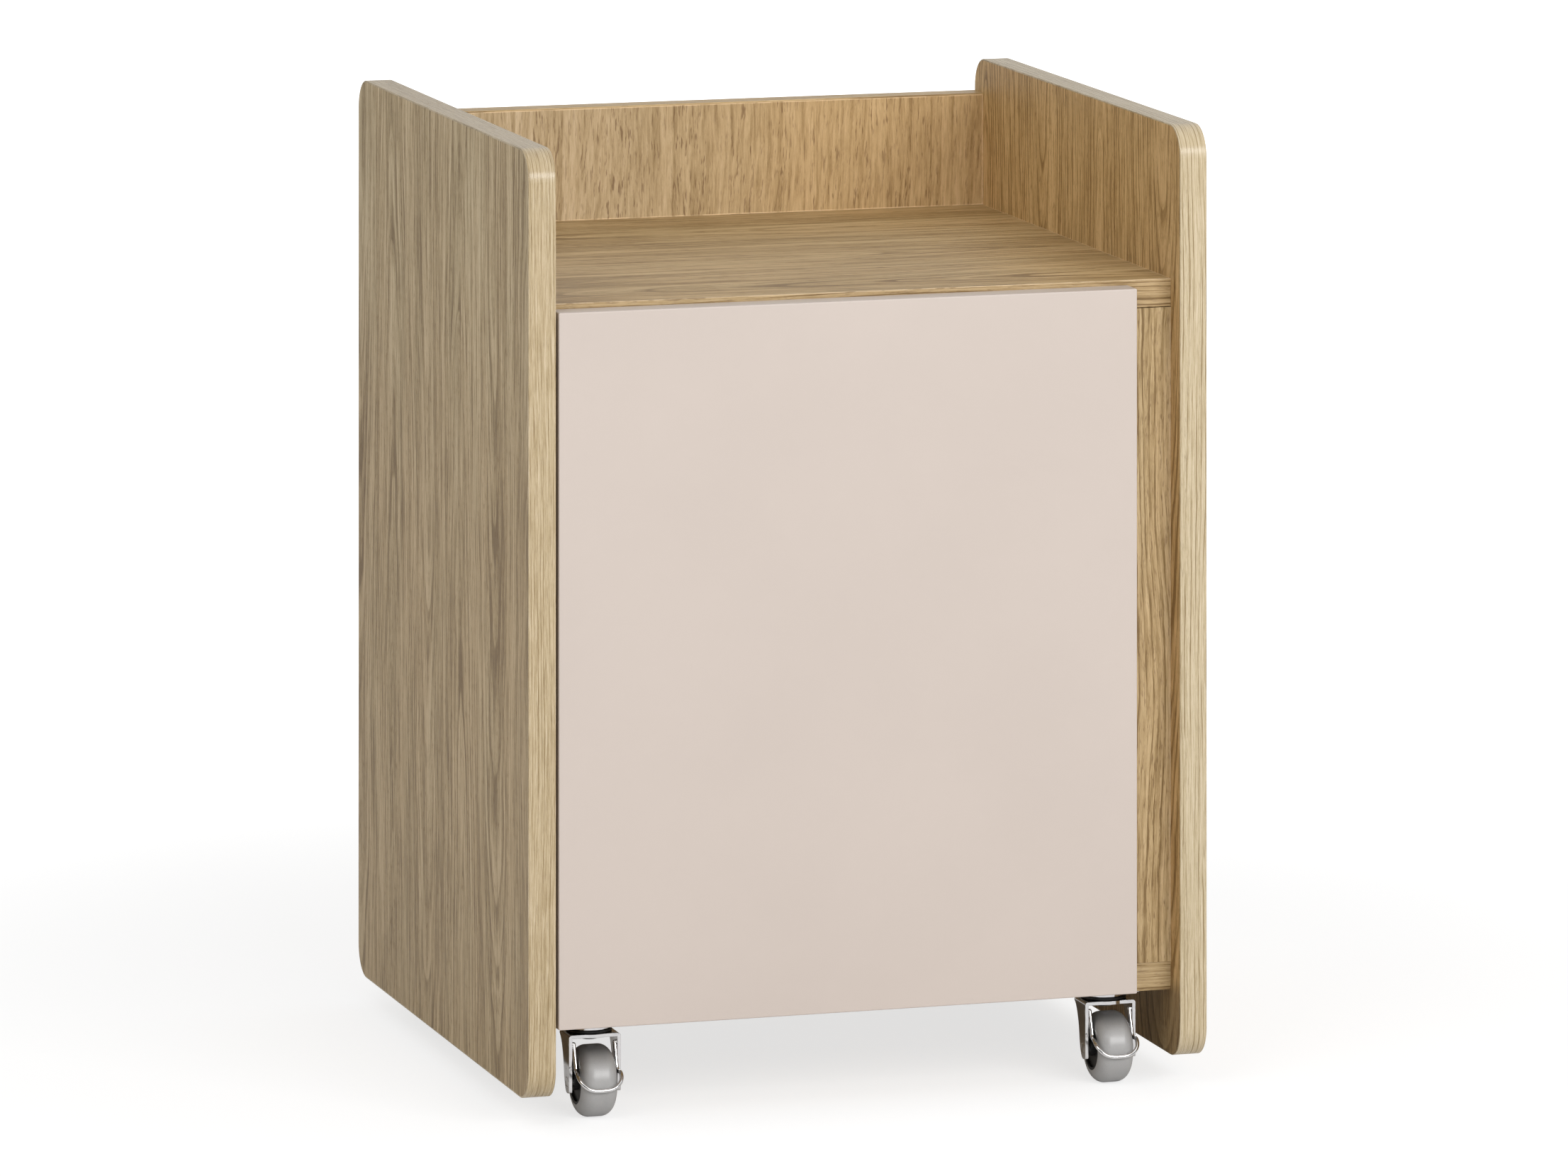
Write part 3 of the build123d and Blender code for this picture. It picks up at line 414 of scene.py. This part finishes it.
floor_mesh.materials.append(g.mat)

# ------------------------------------------------------------------ world and lights
world = bpy.data.worlds.new("studio")
scene.world = world
world.use_nodes = True
w = Graph("", tree=world.node_tree)
tc = w.node("ShaderNodeTexCoord")
sep = w.node("ShaderNodeSeparateXYZ", {0: tc.outputs["Generated"]})
# mirrors see a bright room with a dim side behind the camera
glow = w.span(sep.outputs[2], -0.1, 0.9, 0.45, 1.1)
side = w.span(sep.outputs[0], -0.5, 0.5, 0.70, 1.10)
dim = w.math("MAXIMUM", w.span(sep.outputs[1], -0.75, -0.15, 0.10, 1.0), w.span(sep.outputs[2], 0.35, 0.8, 0.0, 1.0))
gloss = w.mul(w.mul(glow, side), dim)
lp = w.node("ShaderNodeLightPath")
bg_diff = w.node("ShaderNodeBackground", {"Color": (1.0, 1.0, 1.0, 1), "Strength": 0.58})
bg_gloss = w.node("ShaderNodeBackground", {"Color": (1.0, 1.0, 1.0, 1), "Strength": gloss})
bg_cam = w.node("ShaderNodeBackground", {"Color": (1, 1, 1, 1), "Strength": 1.02})
m1 = w.node("ShaderNodeMixShader", {0: lp.outputs["Is Glossy Ray"], 1: bg_diff.outputs[0], 2: bg_gloss.outputs[0]})
m2 = w.node("ShaderNodeMixShader", {0: lp.outputs["Is Camera Ray"], 1: m1.outputs[0], 2: bg_cam.outputs[0]})
wo = w.node("ShaderNodeOutputWorld")
w.t.links.new(m2.outputs[0], wo.inputs[0])


def softbox(name, place, target, size, power, spread=3.1416):
    light = bpy.data.lights.new(name, "AREA")
    light.shape = "RECTANGLE"
    light.size, light.size_y = size
    light.energy = power
    light.spread = spread
    o = bpy.data.objects.new(name, light)
    o.location = place
    o.rotation_mode = "QUATERNION"
    o.rotation_quaternion = (Vector(target) - Vector(place)).to_track_quat("-Z", "Y")
    scene.collection.objects.link(o)
    o.visible_camera = False
    return o


softbox("key", (0.75, -3.0, 1.6), (0, 0, 0.35), (2.2, 1.0), 60)
softbox("fill", (-1.5, -1.7, 2.2), (0, 0, 0.45), (1.3, 1.1), 13)

# ------------------------------------------------------------------ camera
# A level camera above and to the left of the front, with its film dropped so that the
# uprights stay parallel. The drop belongs to this standpoint only, so from any other
# place the lens is centred.
cam_at = (-1.9050, -6.2386, 1.3847)
cam = bpy.data.cameras.new("camera")
cam.lens = 229.43
cam.sensor_width = 36.0
cam.sensor_fit = "HORIZONTAL"
cam.clip_start, cam.clip_end = 0.1, 200.0
cam_obj = bpy.data.objects.new("camera", cam)
cam_obj.location = cam_at
cam_obj.rotation_euler = (math.radians(90.0), 0.0, math.radians(-17.039))
scene.collection.objects.link(cam_obj)
scene.camera = cam_obj
drv = cam.driver_add("shift_y").driver
drv.type = "SCRIPTED"
for i, axis in enumerate(("LOC_X", "LOC_Y")):
    v = drv.variables.new()
    v.name = "xy"[i]
    v.type = "TRANSFORMS"
    v.targets[0].id = cam_obj
    v.targets[0].transform_type = axis
    v.targets[0].transform_space = "WORLD_SPACE"
drv.expression = "-1.0623 if abs(x + 1.9050) + abs(y + 6.2386) < 0.001 else 0.0"

# ------------------------------------------------------------------ picture
scene.view_settings.view_transform = "Standard"
scene.view_settings.look = "None"
scene.view_settings.exposure = 0.0
scene.view_settings.gamma = 1.0

bpy.context.view_layer.update()
